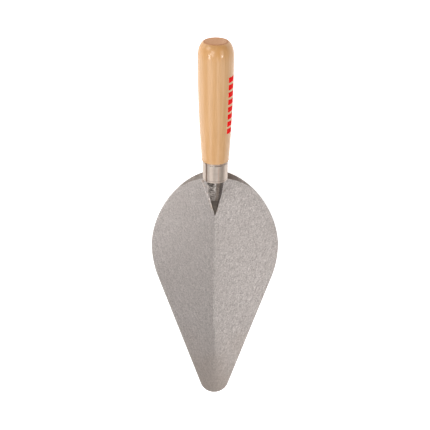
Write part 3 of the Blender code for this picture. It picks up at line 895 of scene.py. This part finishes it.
def ferrule_piece():
    inner = FERRULE_RADIUS - FERRULE_WALL
    lip = 0.25 * MM
    profile = [(inner, FERRULE_LENGTH - lip)]
    profile += arc((inner + lip, FERRULE_LENGTH - lip), lip, 180, 90, 4)[1:]
    profile += arc((FERRULE_RADIUS - lip, FERRULE_LENGTH - lip), lip, 90, 0, 4)
    profile += line(profile[-1], (FERRULE_RADIUS, FERRULE_LENGTH - 0.5 * MM), 1)
    profile += arc((FERRULE_RADIUS, FERRULE_LENGTH - 0.9 * MM), FERRULE_BEAD, 80, -80, 10)
    profile += line(profile[-1], (FERRULE_RADIUS, FERRULE_LENGTH - 1.6 * MM), 1)
    profile += line(profile[-1], (FERRULE_RADIUS, GROOVE_AT + 0.35 * MM), 20)
    profile += [(FERRULE_RADIUS - GROOVE_DEPTH, GROOVE_AT + GROOVE_HALF_WIDTH)]
    profile += [(FERRULE_RADIUS - GROOVE_DEPTH, GROOVE_AT - GROOVE_HALF_WIDTH)]
    profile += [(FERRULE_RADIUS, FERRULE_CORNER)]
    corner = (FERRULE_RADIUS - FERRULE_CORNER, FERRULE_CORNER)
    profile += arc(corner, FERRULE_CORNER, 0, -90, 12)[1:]
    profile += line(profile[-1], (FERRULE_HOLE_RADIUS + 0.3 * MM, 0), 2)
    profile += arc((FERRULE_HOLE_RADIUS + 0.3 * MM, 0.3 * MM), 0.3 * MM, 270, 180, 4)[1:]
    profile += [(FERRULE_HOLE_RADIUS, FERRULE_WALL)]
    profile += [(FERRULE_RADIUS - FERRULE_CORNER, FERRULE_WALL)]
    profile += arc(corner, FERRULE_CORNER - FERRULE_WALL, -75, 0, 4)

    def shape(point, angle):
        """Shallow dents, and two crimps that pinch the mouth into the wood."""
        outwards = Vector((point.x, point.y, 0)).normalized()
        around = Vector((math.sin(angle) * 1.6, math.cos(angle) * 1.6, point.z * 120))
        dent = 0.05 * MM * noise.noise(around)
        near_mouth = ease(FERRULE_LENGTH - 3.0 * MM, FERRULE_LENGTH - 0.6 * MM, point.z)
        for crimp in (math.radians(-35), math.radians(33)):
            off = (angle - crimp + math.pi) % (2 * math.pi) - math.pi
            dent -= 0.28 * MM * near_mouth * math.exp(-((off / math.radians(7)) ** 2))
        return point + outwards * min(dent, 0.02 * MM)

    profile.reverse()
    return turned_piece("ferrule_plated", profile, True, 144, [PLATED], "ferrule", shape)


SHOULDER_AT = FERRULE_LENGTH + 0.1 * MM + SHOULDER_ROUND


def handle_radius(distance):
    """Radius of the handle between its shoulder and its belly."""
    share = (BELLY_AT - distance) / (BELLY_AT - SHOULDER_AT)
    return SHOULDER_RADIUS + (BELLY_RADIUS - SHOULDER_RADIUS) * (1 - share**BELLY_FULLNESS)


def handle_unevenness(distance, angle):
    """Wood that was turned and sanded by hand is never quite round."""
    out_of_round = 0.07 * MM * math.sin(2 * angle + 0.6)
    hand = 0.06 * MM * noise.noise(Vector((math.sin(angle), math.cos(angle), distance * 60)))
    return out_of_round + hand - 0.13 * MM


def handle_piece():
    profile = [(0, HANDLE_END)] + line((0, HANDLE_END), (BUTT_FACE_RADIUS - 0.4 * MM, HANDLE_END), 8)
    profile.append((BUTT_FACE_RADIUS - 0.05 * MM, HANDLE_END - 0.08 * MM))
    reach = (HANDLE_END - BELLY_AT) / math.sin(BUTT_ARC)
    drop = (BELLY_RADIUS - BUTT_FACE_RADIUS) / (1 - math.cos(BUTT_ARC))
    steps = 30
    for step in range(steps - 1, -1, -1):
        turn = BUTT_ARC * step / steps
        profile.append((BELLY_RADIUS - drop * (1 - math.cos(turn)), BELLY_AT + reach * math.sin(turn)))
    steps = 70
    for step in range(1, steps + 1):
        distance = BELLY_AT + (SHOULDER_AT - BELLY_AT) * step / steps
        profile.append((handle_radius(distance), distance))
    profile += arc((SHOULDER_RADIUS - SHOULDER_ROUND, SHOULDER_AT), SHOULDER_ROUND, 0, -90, 8)[1:]
    tenon = FERRULE_RADIUS - FERRULE_WALL - 0.1 * MM
    profile += line(profile[-1], (tenon, SHOULDER_AT - SHOULDER_ROUND), 1)
    profile += line(profile[-1], (tenon, TENON_FROM + 1.2 * MM), 8)
    profile += line(profile[-1], (tenon - 1.2 * MM, TENON_FROM), 2)
    profile += line(profile[-1], (TANG_HALF_WIDTH, TENON_FROM), 2)
    profile.append((0, TENON_FROM))

    def shape(point, angle):
        if point.z < SHOULDER_AT or point.z > HANDLE_END - 1.0 * MM:
            return point
        fade = 1 - ease(HANDLE_END - 9.0 * MM, HANDLE_END - 1.0 * MM, point.z)
        outwards = Vector((point.x, point.y, 0)).normalized()
        return point + outwards * handle_unevenness(point.z, angle) * fade

    profile.reverse()
    return turned_piece("handle_turned", profile, False, 160, [WOOD], "handle", shape)


# The plain red mark on the side of the handle: a run of bars, printed between two angles from the top.
MARK_FROM = 47.5 * MM
MARK_TO = 100.6 * MM
MARK_BARS = 8
MARK_GAP = 0.30
MARK_LOW_ANGLE = math.radians(46.0)
MARK_HIGH_ANGLE = math.radians(78.0)


def mark_piece():
    """Each bar is a thin curved slab that stands a hair above the wood."""
    pitch = (MARK_TO - MARK_FROM) / (MARK_BARS - MARK_GAP)
    across, along = 14, 8
    points = []
    faces = []
    for bar in range(MARK_BARS):
        first = len(points)
        for lift in (-0.10 * MM, 0.06 * MM):
            for step in range(along + 1):
                distance = MARK_FROM + pitch * (bar + (1 - MARK_GAP) * step / along)
                for turn in range(across + 1):
                    angle = MARK_LOW_ANGLE + (MARK_HIGH_ANGLE - MARK_LOW_ANGLE) * turn / across
                    radius = handle_radius(distance) + handle_unevenness(distance, angle) + lift
                    points.append((radius * math.sin(angle), -radius * math.cos(angle), distance))
        wide = across + 1
        layer = wide * (along + 1)
        for step in range(along):
            for turn in range(across):
                corner = first + step * wide + turn
                faces.append((corner, corner + wide, corner + wide + 1, corner + 1))
                corner += layer
                faces.append((corner, corner + 1, corner + wide + 1, corner + wide))
        rim = [first + turn for turn in range(wide)]
        rim += [first + step * wide + across for step in range(1, along + 1)]
        rim += [first + along * wide + turn for turn in range(across - 1, -1, -1)]
        rim += [first + step * wide for step in range(along - 1, 0, -1)]
        for here, after in zip(rim, rim[1:] + rim[:1]):
            faces.append((here, after, after + layer, here + layer))
    points = [HANDLE_FRAME @ Vector(point) for point in points]
    return mesh_piece("handle_mark", points, faces, [RED_PRINT], "handle")


# Stage --------------------------------------------------------------------------------------------------


# The floor is a light table: its glow keeps the shadows faint.
FLOOR_GLOW = 0.50


def floor_piece():
    size = 3.0
    height = -0.2 * MM
    points = [(-size, -size, height), (size, -size, height), (size, size, height), (-size, size, height)]
    mesh = bpy.data.meshes.new("floor")
    mesh.from_pydata(points, [], [(0, 1, 2, 3)])
    floor = bpy.data.objects.new("floor", mesh)
    bpy.context.scene.collection.objects.link(floor)
    look = Look("floor_white", metallic=0.0, roughness=0.9)
    clouds = look.noise(6, detail=2.0)
    colour = look.colours(clouds, [(0.3, (0.90, 0.90, 0.90)), (0.7, (0.93, 0.93, 0.93))])
    look.shader.inputs["Emission Color"].default_value = (1, 1, 1, 1)
    look.shader.inputs["Emission Strength"].default_value = FLOOR_GLOW
    mesh.materials.append(look.finish(colour))


def area_light(name, place, size, power):
    """A rectangular light that faces the middle of the trowel. Power is in watts."""
    light = bpy.data.lights.new(name, "AREA")
    light.shape = "RECTANGLE"
    light.size, light.size_y = size
    light.energy = power
    obj = bpy.data.objects.new(name, light)
    obj.location = place
    obj.rotation_euler = (-Vector(place)).to_track_quat("-Z", "Y").to_euler()
    bpy.context.scene.collection.objects.link(obj)


def studio():
    """Wide soft panels all round, and two small lamps that put a spot each on the lacquer near the butt."""
    world = bpy.data.worlds.new("studio")
    bpy.context.scene.world = world
    world.use_nodes = True
    background = world.node_tree.nodes["Background"]
    background.inputs["Color"].default_value = (1.0, 0.97, 0.94, 1)
    background.inputs["Strength"].default_value = 0.01
    area_light("soft_left", (-0.60, 0.30, 1.50), (0.80, 0.70), 8.9)
    area_light("soft_right", (1.20, 0.30, 1.50), (1.20, 0.70), 6.9)
    area_light("lamp_left", (-1.17, -0.13, 1.34), (0.46, 0.36), 7.0)
    area_light("lamp_right", (1.02, -0.05, 1.27), (0.26, 0.24), 2.4)
    area_light("front_left", (-1.25, -0.90, 1.50), (1.00, 1.10), 7.8)
    area_light("front_right", (0.40, -0.75, 1.50), (0.40, 1.40), 3.2)
    area_light("far_right", (1.45, -0.80, 1.50), (0.60, 1.20), 3.2)
    area_light("low_front", (0.0, -1.90, 0.90), (1.80, 0.90), 11.0)
    area_light("low_right", (1.80, 0.0, 0.45), (1.60, 0.80), 3.0)
    area_light("back_left", (-1.20, 1.10, 0.80), (0.90, 0.90), 9.6)
    bpy.context.scene.view_settings.view_transform = "Standard"


def camera():
    data = bpy.data.cameras.new("camera")
    data.lens = CAMERA_LENS
    data.sensor_width = CAMERA_SENSOR
    data.clip_start = 0.05
    data.clip_end = 20
    obj = bpy.data.objects.new("camera", data)
    back = Vector((0, math.sin(CAMERA_TILT), math.cos(CAMERA_TILT)))
    obj.location = CAMERA_TARGET + back * CAMERA_DISTANCE
    turn = Matrix.Rotation(-CAMERA_TILT, 3, "X") @ Matrix.Rotation(CAMERA_ROLL, 3, "Z")
    obj.rotation_euler = turn.to_euler()
    bpy.context.scene.collection.objects.link(obj)
    bpy.context.scene.camera = obj


# Assembly -----------------------------------------------------------------------------------------------

STEEL = ground_steel("ground_steel_face")
WELD_STEEL = ground_steel("ground_steel_weld", tint=0.5)
RAW_EDGE = raw_edge()
SCALE = forged_scale()
PLATED = plated_steel()
WOOD = lacquered_wood()
RED_PRINT = red_print()

blade_piece()
shank_piece()
weld_piece("weld_left_ground", "weld_left", -1)
weld_piece("weld_right_ground", "weld_right", 1)
ferrule_piece()
handle_piece()
mark_piece()

floor_piece()
studio()
camera()
